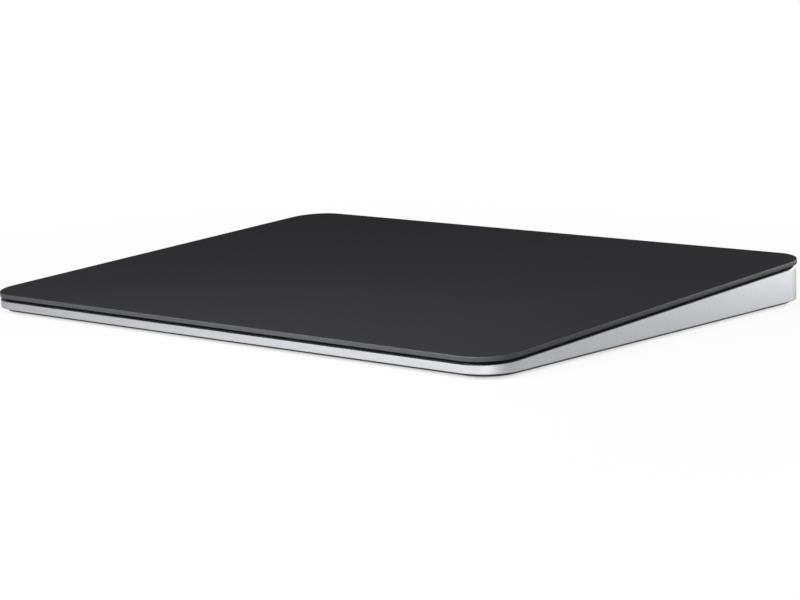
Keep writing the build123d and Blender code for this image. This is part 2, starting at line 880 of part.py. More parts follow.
with BuildPart() as charge_port_insert:
    with BuildSketch(port_plane):
        SlotOverall(port_bore_width, port_bore_height)
    extrude(amount=port_back_wall)
    with BuildSketch(port_plane):
        Rectangle(tongue_width, tongue_thickness)
    extrude(amount=port_length - tongue_recess)
save(charge_port_insert, "charge_port_insert")

with BuildPart() as charge_port_contacts:
    for side in (-1, 1):
        with BuildSketch(port_plane.offset(port_length - tongue_recess - contact_width)):
            with Locations((0, side * (tongue_thickness + contact_thickness) / 2)):
                with GridLocations(contact_pitch, 0, contact_count, 1):
                    Rectangle(contact_width, contact_thickness)
        extrude(amount=-contact_length)
save(charge_port_contacts, "charge_port_contacts")

# Power switch: knob in the slot of the rear wall, on a slide that a guide holds
switch_travel = switch_slot_length - knob_length - 2 * moving_gap
rest_x = switch_x - switch_travel / 2
slide_back_plane = Plane(origin=(0, slide_front, 0), x_dir=(-1, 0, 0), z_dir=(0, 1, 0))
lever_height = port_centre - lever_drop
with BuildPart() as switch_slide:
    with BuildSketch(slide_back_plane):
        with Locations((-rest_x, port_centre)):
            Rectangle(slide_length, slide_height)
    extrude(amount=slide_thickness)
    chamfer(switch_slide.edges().filter_by(Axis.Y), length=slide_corner)
    mark_x = rest_x - knob_length / 2 - mark_length / 2 - moving_gap
    with BuildSketch(slide_back_plane.offset(slide_thickness)):
        with Locations((-mark_x, port_centre)):
            Rectangle(mark_length, mark_height)
    extrude(amount=-mark_depth, mode=Mode.SUBTRACT)
save(switch_slide, "switch_slide")

with BuildPart() as switch_on_mark:
    with BuildSketch(slide_back_plane.offset(slide_thickness - mark_depth)):
        with Locations((-mark_x, port_centre)):
            Rectangle(mark_length, mark_height)
    extrude(amount=mark_depth)
save(switch_on_mark, "switch_on_mark")

with BuildPart() as switch_knob:
    with BuildSketch(slide_back_plane.offset(slide_thickness)):
        with Locations((-rest_x, port_centre)):
            SlotOverall(knob_length, knob_height)
    extrude(amount=slide_wall_gap + wall - knob_recess)
    chamfer(switch_knob.faces().sort_by(Axis.Y)[-1].edges(), length=knob_edge_break)
save(switch_knob, "switch_knob")

with BuildPart() as switch_lever:
    with BuildSketch(slide_back_plane):
        with Locations((-rest_x, lever_height)):
            Rectangle(lever_width, lever_thickness)
    extrude(amount=-lever_reach)
save(switch_lever, "switch_lever")

# Guide: a formed steel strip that carries the slide against the rear wall
guide_half = (slide_length + switch_travel) / 2 + moving_gap
guide_front = slide_front - moving_gap - guide_thickness / 2
lever_room_length = lever_width + switch_travel + 2 * moving_gap
lever_room_height = lever_thickness + 2 * moving_gap
with BuildPart() as switch_guide:
    with BuildSketch(Plane.XY.offset(port_centre - slide_height / 2)):
        with BuildLine():
            Polyline(
                (switch_x - guide_half - guide_thickness / 2, inner_rear),
                (switch_x - guide_half - guide_thickness / 2, guide_front),
                (switch_x + guide_half + guide_thickness / 2, guide_front),
                (switch_x + guide_half + guide_thickness / 2, inner_rear),
            )
        trace(line_width=guide_thickness)
    extrude(amount=slide_height)
    with BuildSketch(slide_back_plane):
        with Locations((-switch_x, lever_height)):
            Rectangle(lever_room_length, lever_room_height)
    extrude(amount=-moving_gap - guide_thickness - overrun / 2, mode=Mode.SUBTRACT)
save(switch_guide, "switch_guide")

with BuildPart() as switch_body:
    with BuildSketch(Plane.XY.offset(board_top)):
        with Locations((switch_x, switch_body_rear - switch_body_width / 2)):
            Rectangle(switch_body_length, switch_body_width)
    extrude(amount=switch_body_height)
    groove_plane = Plane(origin=(0, switch_body_rear, 0), x_dir=(-1, 0, 0), z_dir=(0, 1, 0))
    with BuildSketch(groove_plane):
        with Locations((-switch_x, lever_height)):
            Rectangle(lever_room_length, lever_room_height)
    extrude(amount=-switch_groove_depth, mode=Mode.SUBTRACT)
save(switch_body, "switch_body")

# Antenna foil on the inside of the cover, with a spring clip up to the main board
antenna_rear = mouth_rear - flex_margin
antenna_middle = antenna_rear - antenna_width / 2
with BuildPart() as antenna_flex:
    with BuildSketch(Plane.XY.offset(cover_top)):
        with Locations((shield_x, antenna_middle)):
            Rectangle(antenna_length, antenna_width)
        with Locations((shield_x - antenna_width / 2, antenna_middle)):
            Rectangle(antenna_length / 2, antenna_width / 4, mode=Mode.SUBTRACT)
    extrude(amount=flex_thickness)
save(antenna_flex, "antenna_flex")

clip_x = shield_x + antenna_length / 2 - clip_length
clip_low = cover_top + flex_thickness + clip_thickness / 2
clip_high = board_height - clip_thickness / 2
with BuildPart() as antenna_clip:
    with BuildSketch(Plane.XZ.offset(-antenna_middle)):
        with BuildLine():
            Polyline(
                (clip_x - clip_length / 2, clip_high),
                (clip_x + clip_length / 2, clip_high),
                (clip_x - clip_length / 2, clip_low),
                (clip_x + clip_length / 2, clip_low),
            )
        trace(line_width=clip_thickness)
    extrude(amount=clip_width / 2, both=True)
save(antenna_clip, "antenna_clip")

print("tilt", round(degrees(tilt), 3), "degrees; switch travel", round(switch_travel, 3), "mm")
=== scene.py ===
"""A wedge-shaped desk trackpad: black etched glass on a bead-blasted aluminium body."""

import json
import math

import bmesh
import bpy
from mathutils import Matrix, Vector

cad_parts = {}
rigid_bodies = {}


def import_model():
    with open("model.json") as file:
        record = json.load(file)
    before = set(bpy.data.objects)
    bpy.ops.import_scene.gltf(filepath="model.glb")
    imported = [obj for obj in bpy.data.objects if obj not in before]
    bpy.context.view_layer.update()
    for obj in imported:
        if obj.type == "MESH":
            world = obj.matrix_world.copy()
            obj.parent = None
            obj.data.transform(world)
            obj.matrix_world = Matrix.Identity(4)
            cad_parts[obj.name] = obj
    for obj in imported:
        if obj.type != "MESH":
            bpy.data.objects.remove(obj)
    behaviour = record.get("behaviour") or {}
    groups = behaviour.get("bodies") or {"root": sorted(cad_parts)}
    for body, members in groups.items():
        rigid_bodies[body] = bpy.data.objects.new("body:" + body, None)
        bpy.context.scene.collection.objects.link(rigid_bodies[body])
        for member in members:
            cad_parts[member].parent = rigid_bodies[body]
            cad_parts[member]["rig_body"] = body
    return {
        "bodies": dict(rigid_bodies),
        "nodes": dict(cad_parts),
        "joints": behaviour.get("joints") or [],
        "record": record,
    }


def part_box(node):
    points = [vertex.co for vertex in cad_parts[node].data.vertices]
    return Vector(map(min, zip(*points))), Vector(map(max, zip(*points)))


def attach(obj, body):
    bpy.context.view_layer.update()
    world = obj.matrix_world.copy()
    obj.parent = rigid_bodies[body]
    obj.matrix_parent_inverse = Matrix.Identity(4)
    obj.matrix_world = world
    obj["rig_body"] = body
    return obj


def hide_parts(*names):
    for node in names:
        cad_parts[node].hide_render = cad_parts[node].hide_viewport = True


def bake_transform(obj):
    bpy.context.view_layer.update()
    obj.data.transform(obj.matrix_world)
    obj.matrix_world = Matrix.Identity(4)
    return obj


for left_over in list(bpy.data.objects):
    bpy.data.objects.remove(left_over)

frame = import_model()
bpy.context.view_layer.update()
GLASS_LOW, GLASS_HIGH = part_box("touch_glass")

bl_info = {
    "name": "Desk trackpad",
    "version": (1, 0, 0),
    "blender": (4, 5, 0),
    "location": "View3D > Sidebar > Trackpad",
    "description": "Finishes a wedge-shaped desk trackpad with a floating glass plate",
    "category": "Object",
}

MM = 0.001

# Corners turned by more than this stay sharp on moulded and pressed parts
SHARP = math.radians(32)

# Even steps in which a spring leaf or cable can curve
BEND_STEPS = 8


def linear(hex_colour):
    """Turns an sRGB hex colour into the linear one that the shaders take."""
    channels = [int(hex_colour[at:at + 2], 16) / 255 for at in (1, 3, 5)]
    return [c / 12.92 if c <= 0.04045 else ((c + 0.055) / 1.055) ** 2.4 for c in channels]


def rgb_alpha(values):
    """A linear colour with full cover, as a colour socket takes it."""
    return (*values[:3], 1.0)


def rgba(hex_colour):
    return rgb_alpha(linear(hex_colour))


def put(tree, kind, links=None, **settings):
    """Adds a node to a tree, sets it and joins or fills its inputs."""
    node = tree.nodes.new(kind)
    for name, value in settings.items():
        setattr(node, name, value)
    for socket, value in (links or {}).items():
        if isinstance(value, bpy.types.NodeSocket):
            tree.links.new(value, node.inputs[socket])
        else:
            node.inputs[socket].default_value = value
    return node


def length(name, description, millimetres):
    """A size that a user may change."""
    return bpy.props.FloatProperty(
        name=name, description=description, default=millimetres * MM, min=0.0,
        precision=5, subtype="DISTANCE", unit="LENGTH")


def colour(name, description, hex_colour):
    """A colour that a user may change."""
    return bpy.props.FloatVectorProperty(
        name=name, description=description, default=linear(hex_colour),
        min=0.0, max=1.0, size=3, subtype="COLOR")


def power(name, description, watts):
    """A lamp's power that a user may change."""
    return bpy.props.FloatProperty(
        name=name, description=description, default=watts, min=0.0, subtype="POWER",
        unit="POWER")


class TrackpadSizes(bpy.types.PropertyGroup):
    """Sizes of what is built here and isn't read from the solids."""

    front_height: length("Front height", "Top of the glass at its front edge", 4.9)
    rear_height: length("Rear height", "Top of the glass at its rear edge", 10.9)
    glass_depth: length("Glass depth", "Front to rear edge, seen from above", 114.9)
    glass_corner: length("Glass corner", "Radius of the plate's corners, seen from above", 8.8)
    glass_thickness: length("Glass thickness", "Thickness of the plate", 1.1)
    pocket_depth: length("Pocket depth", "From the top of the glass to the pocket's floor", 2.75)
    edge_depth: length("Edge depth", "From the top of the glass to below the body's break", 2.0)
    glass_round: length("Glass edge", "Radius of the ground upper edge", 0.16)
    foot_round: length("Foot edge", "Radius of the rubber foot's lower edge", 0.28)
    foot_groove: length("Foot groove", "Depth of the ring in the foot's face", 0.08)
    contact_pitch: length("Contact pitch", "Distance between the port's contacts", 0.5)
    contact_width: length("Contact width", "Width of one contact", 0.26)
    cable_foot: length("Cable foot", "Flat end of the cable in its socket", 2.0)
    moulded_edge: length("Moulded edge", "Radius on the edges of moulded parts", 0.12)
    pressed_edge: length("Pressed edge", "Radius on the edges of pressed sheet", 0.05)
    soft_edge: length("Soft edge", "Radius on the edges of gel and foil pouches", 0.25)


class TrackpadColours(bpy.types.PropertyGroup):
    """Colours of the parts that show from outside."""

    glass: colour("Glass", "Black print behind the etched glass", "#252527")
    glass_side: colour("Glass side", "Ground side of the glass", "#333436")
    aluminium: colour("Aluminium", "Clear anodised aluminium", "#bcbdc0")
    cover: colour("Cover", "Plastic bottom cover", "#161617")
    rubber: colour("Rubber", "Rubber feet", "#2c2c2e")
    knob: colour("Knob", "Silver switch knob", "#bdbec0")
    mark: colour("Mark", "Mark that shows when the switch is on", "#3f9b46")


class TrackpadStudio(bpy.types.PropertyGroup):
    """The floor, the lamps and the camera."""

    floor_side: length("Floor side", "Length of the square floor's side", 9000)
    front_power: power("Front lamp", "Small softbox above the front edge", 0.85)
    left_power: power("Left lamp", "Softbox on the left in front", 1.2)
    right_power: power("Right lamp", "Softbox beside the camera", 1.75)
    end_power: power("End lamp", "Small softbox behind the right end", 0.3)
    back_power: power("Back lamp", "Softbox behind", 1.1)
    under_power: power("Under lamp", "Softbox below the floor, for the underside alone", 6.0)
    lens: bpy.props.FloatProperty(
        name="Lens", description="Focal length of the camera, in millimetres on a 36 mm sensor",
        default=112.94, min=1.0)
    roll: bpy.props.FloatProperty(
        name="Roll", description="Turn of the camera about its own axis",
        default=math.radians(-1.88), subtype="ANGLE", unit="ROTATION")


# Patterns: every scale is the real size of a grain, thread or wire, in millimetres
def per_metre(millimetres):
    return 1 / (millimetres * MM)


def surface(name, colour_value, **settings):
    """Starts a material: one Principled shader whose plain values sit on its own sockets."""
    material = bpy.data.materials.new(name)
    material.use_nodes = True
    tree = material.node_tree
    tree.nodes.clear()
    values = {"Base Color": rgb_alpha(colour_value)}
    for key, value in settings.items():
        values[key.replace("_", " ").title().replace("Ior", "IOR")] = value
    shader = put(tree, "ShaderNodeBsdfPrincipled", values)
    put(tree, "ShaderNodeOutputMaterial", {"Surface": shader.outputs["BSDF"]})
    here = put(tree, "ShaderNodeTexCoord").outputs["Object"]
    return material, tree, shader, here


def grain(tree, shader, here, size, height, roughness, stretch=(1, 1, 1), detail=2.0):
    """Uneven surface: noise of that size raises it and spreads its roughness."""
    placed = put(tree, "ShaderNodeMapping", {"Vector": here, "Scale": stretch})
    noise = put(tree, "ShaderNodeTexNoise", {
        "Vector": placed.outputs["Vector"], "Scale": per_metre(size), "Detail": detail,
        "Roughness": 0.55})
    spread = put(tree, "ShaderNodeMapRange", {
        "Value": noise.outputs["Fac"], "From Min": 0.3, "From Max": 0.7,
        "To Min": roughness[0], "To Max": roughness[1]})
    bump = put(tree, "ShaderNodeBump", {
        "Height": noise.outputs["Fac"], "Distance": height * MM, "Strength": 1.0})
    tree.links.new(spread.outputs["Result"], shader.inputs["Roughness"])
    tree.links.new(bump.outputs["Normal"], shader.inputs["Normal"])
    return noise


def tint(tree, shader, factor, low, high):
    """Lets the colour wander between two close tones."""
    # A Mix node has its colour sockets at 6, 7 and 2
    mixed = put(tree, "ShaderNodeMix", {
        "Factor": factor, 6: rgb_alpha(low), 7: rgb_alpha(high)}, data_type="RGBA")
    tree.links.new(mixed.outputs[2], shader.inputs["Base Color"])


def shade(values, by):
    return [min(1.0, value * by) for value in values[:3]]


def etched_glass(colours):
    """Acid-etched glass over black print: dark, even and satin, with no mirror image."""
    base = colours.glass
    material, tree, shader, here = surface(
        "etched_black_glass", base, ior=1.5, specular_ior_level=0.045)
    # Etch pits are near 0.02 mm; drawn at 0.25 mm, or they would not show
    grain(tree, shader, here, 0.25, 0.0012, (0.5, 0.56))
    haze = put(tree, "ShaderNodeTexNoise", {
        "Vector": here, "Scale": per_metre(38), "Detail": 1.0})
    tint(tree, shader, haze.outputs["Fac"], shade(base, 0.93), shade(base, 1.07))
    return material


def ground_glass(colours):
    """Diamond-ground side of the plate: frosted, so it catches light and looks paler."""
    base = colours.glass_side
    material, tree, shader, here = surface(
        "ground_glass_side", base, ior=1.5, specular_ior_level=0.3)
    # Grinding lines run along the edge, about 0.06 mm apart; drawn at 0.15 mm
    noise = grain(tree, shader, here, 0.15, 0.001, (0.42, 0.55), (0.12, 0.12, 1))
    tint(tree, shader, noise.outputs["Fac"], shade(base, 0.9), shade(base, 1.1))
    return material


def reach(tree, here, half_wide, half_long, radius):
    """How far a point lies outside a rectangle with round corners, seen from above."""
    flat = put(tree, "ShaderNodeVectorMath", {0: here, 1: (1, 1, 0)}, operation="MULTIPLY")
    folded = put(tree, "ShaderNodeVectorMath", {0: flat.outputs[0]}, operation="ABSOLUTE")
    past = put(tree, "ShaderNodeVectorMath", {
        0: folded.outputs[0], 1: (half_wide - radius, half_long - radius, 0)},
        operation="SUBTRACT")
    kept = put(tree, "ShaderNodeVectorMath", {0: past.outputs[0], 1: (0, 0, 0)},
               operation="MAXIMUM")
    far = put(tree, "ShaderNodeVectorMath", {0: kept.outputs[0]}, operation="LENGTH")
    return put(tree, "ShaderNodeMath", {0: far.outputs["Value"], 1: radius},
               operation="SUBTRACT").outputs[0]


def body_reach(tree, here, sizes):
    """How far a point lies outside the aluminium body, seen from above."""
    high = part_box("housing")[1]
    corner = sizes.glass_corner - (GLASS_HIGH.x - high.x)
    return reach(tree, here, high.x, high.y, corner)


# Where the body's painted pocket shade and its cut break start, in millimetres inside its outline,
# and their shaders
GAP_SHADE_INSET, BREAK_INSET = 0.5, 0.02
GAP_SHADE_ROUGHNESS, BREAK_ROUGHNESS = 0.65, 0.14


def anodised_aluminium(colours, sizes):
    """Machined aluminium, bead-blasted and clear anodised: soft silver with a fine tooth.

    The break along its upper edge is cut after blasting, so it is bright and mirrors the
    dark glass above it. The pocket below the glass is painted near-black: painted shade that keeps
    the gap dark.
    """
    base = colours.aluminium
    material, tree, shader, here = surface("anodised_aluminium", base)
    # Bead dimples are near 0.1 mm; drawn at 0.28 mm, a little more than one pixel
    grain(tree, shader, here, 0.28, 0.006, (0.4, 0.5), detail=3.0)
    blasted = shader.inputs["Roughness"].links[0].from_socket
    # The mill's passes stay as a very faint upright unevenness below the blasting
    upright = put(tree, "ShaderNodeMapping", {"Vector": here, "Scale": (1, 1, 0.06)})
    passes = put(tree, "ShaderNodeTexNoise", {
        "Vector": upright.outputs["Vector"], "Scale": per_metre(0.9), "Detail": 1.0})
    silver = put(tree, "ShaderNodeMix", {
        "Factor": passes.outputs["Fac"], 6: rgb_alpha(shade(base, 0.97)),
        7: rgb_alpha(shade(base, 1.03))}, data_type="RGBA")
    outside = body_reach(tree, here, sizes)
    slope = glass_slope(sizes)
    height = put(tree, "ShaderNodeVectorMath", {
        0: here, 1: (0, -math.sin(slope), math.cos(slope))}, operation="DOT_PRODUCT")
    middle = (sizes.front_height + sizes.rear_height) / 2 * math.cos(slope)
    # The painted shade and the cut break each lie above a depth below the glass and inside a line
    # near the outline
    shares = []
    for depth, inset in ((sizes.pocket_depth, GAP_SHADE_INSET), (sizes.edge_depth, BREAK_INSET)):
        upper = put(tree, "ShaderNodeMath", {
            0: height.outputs["Value"], 1: middle - depth}, operation="GREATER_THAN")
        inner = put(tree, "ShaderNodeMath", {0: outside, 1: -inset * MM}, operation="LESS_THAN")
        both = put(tree, "ShaderNodeMath", {0: upper.outputs[0], 1: inner.outputs[0]},
                   operation="MULTIPLY")
        shares.append(both.outputs[0])
    # The first mask is painted shade: near-black in the pocket and the gap under the glass
    black, bright = shares
    cut = put(tree, "ShaderNodeMix", {"Factor": bright, 2: blasted, 3: BREAK_ROUGHNESS})
    finished = put(tree, "ShaderNodeMix", {
        "Factor": black, 2: cut.outputs[0], 3: GAP_SHADE_ROUGHNESS})
    # Inside the painted shade the metal gives way to a near-black, non-metal colour
    metal = put(tree, "ShaderNodeMath", {0: 1.0, 1: black}, operation="SUBTRACT")
    painted = put(tree, "ShaderNodeMix", {
        "Factor": black, 6: silver.outputs[2], 7: rgba("#0c0c0d")}, data_type="RGBA")
    tree.links.new(finished.outputs[0], shader.inputs["Roughness"])
    tree.links.new(metal.outputs[0], shader.inputs["Metallic"])
    tree.links.new(painted.outputs[2], shader.inputs["Base Color"])
    return material


def moulded_cover(colours):
    """Injection-moulded black ABS with an eroded mould texture: matt and slightly grey."""
    base = colours.cover
    material, tree, shader, here = surface("moulded_abs_cover", base, ior=1.53)
    # Spark-eroded texture of about 0.12 mm, drawn at 0.3 mm
    noise = grain(tree, shader, here, 0.3, 0.008, (0.55, 0.7), detail=4.0)
    tint(tree, shader, noise.outputs["Fac"], shade(base, 0.85), shade(base, 1.2))
    return material


def foot_rubber(colours):
    """Moulded silicone rubber: very matt, dusty black, with specks of filler."""
    base = colours.rubber
    material, tree, shader, here = surface(
        "moulded_silicone_rubber", base, ior=1.43, specular_ior_level=0.35)
    grain(tree, shader, here, 0.4, 0.012, (0.78, 0.92), detail=5.0)
    specks = put(tree, "ShaderNodeTexVoronoi", {"Vector": here, "Scale": per_metre(0.7)})
    near = put(tree, "ShaderNodeMapRange", {
        "Value": specks.outputs["Distance"], "From Min": 0.0, "From Max": 0.35,
        "To Min": 1.0, "To Max": 0.0})
    tint(tree, shader, near.outputs["Result"], base, shade(base, 1.5))
    return material


def knob_plastic(colours):
    """Moulded knob with silver lacquer: tiny metal flakes under a satin clear coat."""
    base = colours.knob
    material, tree, shader, here = surface(
        "silver_lacquered_plastic", base, metallic=0.7, coat_weight=0.15, coat_roughness=0.35)
    flakes = grain(tree, shader, here, 0.12, 0.001, (0.36, 0.5))
    tint(tree, shader, flakes.outputs["Fac"], shade(base, 0.88), shade(base, 1.08))
    return material


def mark_paint(colours):
    """Pad-printed green enamel: smooth with a faint orange peel."""
    base = colours.mark
    material, tree, shader, here = surface("pad_printed_enamel", base, ior=1.5)
    noise = grain(tree, shader, here, 0.35, 0.004, (0.3, 0.42))
    tint(tree, shader, noise.outputs["Fac"], shade(base, 0.92), shade(base, 1.06))
    return material


def rolled_steel(name, hex_colour, roughness, across=(0.04, 1, 1)):
    """Cold-rolled strip: long fine lines along the rolling direction."""
    base = linear(hex_colour)
    material, tree, shader, here = surface(name, base, metallic=1.0)
    # Rolling lines of about 0.05 mm, drawn at 0.12 mm
    noise = grain(tree, shader, here, 0.12, 0.0015, roughness, across)
    tint(tree, shader, noise.outputs["Fac"], shade(base, 0.9), shade(base, 1.06))
    return material


def nickel_plate():
    """Bright nickel on steel: grey, a little warm, with soft plating cloudiness."""
    base = linear("#aeaca6")
    material, tree, shader, here = surface("nickel_plated_steel", base, metallic=1.0)
    noise = grain(tree, shader, here, 0.6, 0.0012, (0.2, 0.34), detail=4.0)
    tint(tree, shader, noise.outputs["Fac"], shade(base, 0.92), shade(base, 1.05))
    return material


def gold_plate():
    """Hard gold over nickel on the contacts: deep yellow, smooth, worn a little dull."""
    base = linear("#d9ab4e")
    material, tree, shader, here = surface("hard_gold_plate", base, metallic=1.0)
    noise = grain(tree, shader, here, 0.2, 0.0006, (0.18, 0.32), (0.3, 1, 1))
    tint(tree, shader, noise.outputs["Fac"], shade(base, 0.86), shade(base, 1.04))
    return material


def moulded_plastic(name, hex_colour, roughness, size=0.25):
    """Small moulded part: plain glass-filled plastic, whose fibres break up the gloss."""
    base = linear(hex_colour)
    material, tree, shader, here = surface(name, base, ior=1.5)
    noise = grain(tree, shader, here, size, 0.003, roughness, (0.3, 1, 1), 3.0)
    tint(tree, shader, noise.outputs["Fac"], shade(base, 0.85), shade(base, 1.15))
    return material


def green_laminate():
    """Glass-epoxy laminate under green solder mask: copper lines glow through as paler green."""
    base = linear("#1d5a34")
    material, tree, shader, here = surface(
        "glass_epoxy_laminate", base, ior=1.55, coat_weight=0.4, coat_roughness=0.2)
    # Glass cloth of 0.4 mm pitch lies under the mask and gives a faint weave
    weave = put(tree, "ShaderNodeTexChecker", {"Vector": here, "Scale": per_metre(0.4)})
    # Copper lines stand in blocks about 3 by 0.8 mm, with 0.2 mm between them
    lines = put(tree, "ShaderNodeTexBrick", {
        "Vector": here, "Scale": per_metre(3.2), "Mortar Size": 0.03, "Brick Width": 1.0,
        "Row Height": 0.25, "Mortar Smooth": 0.2})
    tint(tree, shader, lines.outputs["Fac"], base, shade(base, 1.75))
    grain(tree, shader, here, 0.5, 0.003, (0.32, 0.45))
    bump = put(tree, "ShaderNodeBump", {
        "Height": weave.outputs["Fac"], "Distance": 0.002 * MM, "Strength": 0.6,
        "Normal": shader.inputs["Normal"].links[0].from_socket})
    tree.links.new(bump.outputs["Normal"], shader.inputs["Normal"])
    return material


def amber_film():
    """Polyimide film over copper tracks: translucent amber with darker stripes below."""
    base = linear("#b06a1e")
    material, tree, shader, here = surface(
        "polyimide_film", base, ior=1.7, coat_weight=0.5, coat_roughness=0.12)
    # Tracks are 0.15 mm wide at a pitch of 0.4 mm
    tracks = put(tree, "ShaderNodeTexWave", {
        "Vector": here, "Scale": per_metre(0.4) / 20}, bands_direction="X")
    tint(tree, shader, tracks.outputs["Fac"], shade(base, 0.62), shade(base, 1.12))
    grain(tree, shader, here, 1.2, 0.004, (0.22, 0.34))
    return material


def enamelled_winding():
    """Enamelled copper wire, layer wound: parallel round turns, deep orange and glossy."""
    base = linear("#a9562b")
    material, tree, shader, here = surface(
        "enamelled_copper_wire", base, metallic=0.85, coat_weight=0.6, coat_roughness=0.15)
    # Wire of 0.15 mm, drawn at 0.2 mm
    turns = put(tree, "ShaderNodeTexWave", {
        "Vector": here, "Scale": per_metre(0.2) / 20}, bands_direction="Z")
    # The dark band of each wave is painted shade between the round turns; the same wave also
    # raises them as bumps
    tint(tree, shader, turns.outputs["Fac"], shade(base, 0.45), shade(base, 1.15))
    bump = put(tree, "ShaderNodeBump", {
        "Height": turns.outputs["Fac"], "Distance": 0.05 * MM, "Strength": 0.9})
    tree.links.new(bump.outputs["Normal"], shader.inputs["Normal"])
    shader.inputs["Roughness"].default_value = 0.3
    return material


def pouch_foil():
    """Laminated aluminium pouch of the cell: dull silver-grey foil with soft creases."""
    base = linear("#8f9296")
    material, tree, shader, here = surface(
        "laminated_pouch_foil", base, metallic=0.9, coat_weight=0.2, coat_roughness=0.3)
    creases = grain(tree, shader, here, 6.0, 0.05, (0.32, 0.46), detail=3.0)
    tint(tree, shader, creases.outputs["Fac"], shade(base, 0.88), shade(base, 1.08))
    return material


def fibre_tape():
    """White fleece tape: matt, with short fibres pressed flat."""
    base = linear("#dcdad4")
    material, tree, shader, here = surface("fleece_tape", base, ior=1.45)
    fibres = grain(tree, shader, here, 0.3, 0.012, (0.8, 0.95), (0.2, 1, 1), 4.0)
    tint(tree, shader, fibres.outputs["Fac"], shade(base, 0.9), shade(base, 1.04))
    return material


def foam_adhesive(name, hex_colour, **more):
    """Acrylic foam tape: closed cells give a fine pebbled, dull edge."""
    base = linear(hex_colour)
    material, tree, shader, here = surface(name, base, ior=1.47, **more)
    cells = put(tree, "ShaderNodeTexVoronoi", {"Vector": here, "Scale": per_metre(0.3)})
    tint(tree, shader, cells.outputs["Distance"], shade(base, 0.85), shade(base, 1.2))
    grain(tree, shader, here, 0.3, 0.006, (0.5, 0.7))
    return material


def clear_gel():
    """Cast silicone gel: clear, milky in its depth, with a wet-looking skin."""
    base = linear("#cfd6d8")
    material, tree, shader, here = surface(
        "cast_silicone_gel", base, ior=1.41, transmission_weight=0.75)
    noise = grain(tree, shader, here, 0.9, 0.004, (0.16, 0.28))
    tint(tree, shader, noise.outputs["Fac"], shade(base, 0.94), shade(base, 1.04))
    return material


def make_finishes(colours, sizes):
    """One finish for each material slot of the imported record."""
    return {
        "etched_black_glass": etched_glass(colours),
        "clear_adhesive": foam_adhesive(
            "optical_adhesive", "#b9bcbd", transmission_weight=0.5),
        "green_laminate": green_laminate(),
        "anodised_aluminium": anodised_aluminium(colours, sizes),
        "black_cover_plastic": moulded_cover(colours),
        "black_foot_rubber": foot_rubber(colours),
        "spring_steel": rolled_steel("stainless_spring_strip", "#a3a19c", (0.24, 0.36)),
        "magnet_steel": rolled_steel("silicon_steel_sheet", "#6c6f73", (0.34, 0.5), (1, 1, 0.04)),
        "copper_winding": enamelled_winding(),
        "cell_foil": pouch_foil(),
        "white_tape": fibre_tape(),
        "black_adhesive": foam_adhesive("black_foam_tape", "#1a1a1b"),
        "clear_gel": clear_gel(),
        "chip_epoxy": moulded_plastic("moulding_epoxy", "#232426", (0.55, 0.72), 0.12),
        "amber_film": amber_film(),
        "connector_plastic": moulded_plastic("liquid_crystal_polymer", "#b5a98c", (0.45, 0.6)),
        "dark_insert_plastic": moulded_plastic("glass_filled_nylon", "#18191a", (0.4, 0.58)),
        "nickel_steel": nickel_plate(),
        "gold_plate": gold_plate(),
        "silver_knob_plastic": knob_plastic(colours),
        "green_paint": mark_paint(colours),
    }


FINISHES = {}


def slot_of(node):
    """The record's material slot of a CAD part."""
    return frame["nodes"][node].material_slots[0].name


def link(name, mesh):
    piece = bpy.data.objects.new(name, mesh)
    bpy.context.scene.collection.objects.link(piece)
    return piece


def own(piece, node, *others):
    """The piece stands for CAD parts: it goes on their body, and they are hidden."""
    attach(piece, frame["nodes"][node]["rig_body"])
    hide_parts(node, *others)
    return piece


def merged(node):
    """A CAD part's skin with its doubled corners joined and flat faces whole."""
    skin = bmesh.new()
    skin.from_mesh(frame["nodes"][node].data)
    bmesh.ops.remove_doubles(skin, verts=skin.verts, dist=0.001 * MM)
    bmesh.ops.dissolve_limit(
        skin, angle_limit=math.radians(0.5), verts=skin.verts, edges=skin.edges)
    return skin


def skinned(skin, node, name):
    """The skin as a piece with the CAD part's finish, smooth but for its real edges."""
    for face in skin.faces:
        face.smooth = True
    for edge in skin.edges:
        edge.smooth = edge.calc_face_angle(0.0) < SHARP
    mesh = bpy.data.meshes.new(name)
    skin.to_mesh(mesh)
    skin.free()
    mesh.materials.append(FINISHES[frame["slots"][node]])
    return link(name, mesh)


def bent(node, name, fixed, moving):
    """A copy of a CAD part, cut across in even steps between its fixed end at the chassis and its
    moving end at the pads.
    """
    skin = merged(node)
    run = moving - fixed
    for step in range(BEND_STEPS + 1):
        bmesh.ops.bisect_plane(
            skin, geom=skin.verts[:] + skin.edges[:] + skin.faces[:], dist=0.0001 * MM,
            plane_co=fixed + run * step / BEND_STEPS, plane_no=run)
    piece = skinned(skin, node, name)
    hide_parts(node)
    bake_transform(piece)


def softened(node, name, radius):
    """A CAD part with rounded edges, as the mould or the press leaves them."""
    piece = skinned(merged(node), node, name)
    edges = piece.modifiers.new("Edges", "BEVEL")
    edges.width = radius
    edges.segments = 2
    edges.limit_method = "ANGLE"
    edges.angle_limit = SHARP
    edges.harden_normals = True
    return own(piece, node)


def grown(name, tree, inputs, start=None):
    """Runs a Geometry Nodes tree once and keeps what it makes as a plain mesh."""
    piece = link(name, start or bpy.data.meshes.new(name))
    modifier = piece.modifiers.new(tree.name, "NODES")
    modifier.node_group = tree
    for socket in tree.interface.items_tree:
        if socket.in_out == "INPUT" and socket.name in inputs:
            modifier[socket.identifier] = inputs[socket.name]
    graph = bpy.context.evaluated_depsgraph_get()
    made = bpy.data.meshes.new_from_object(piece.evaluated_get(graph), depsgraph=graph)
    piece.modifiers.remove(modifier)
    piece.data = made
    return piece


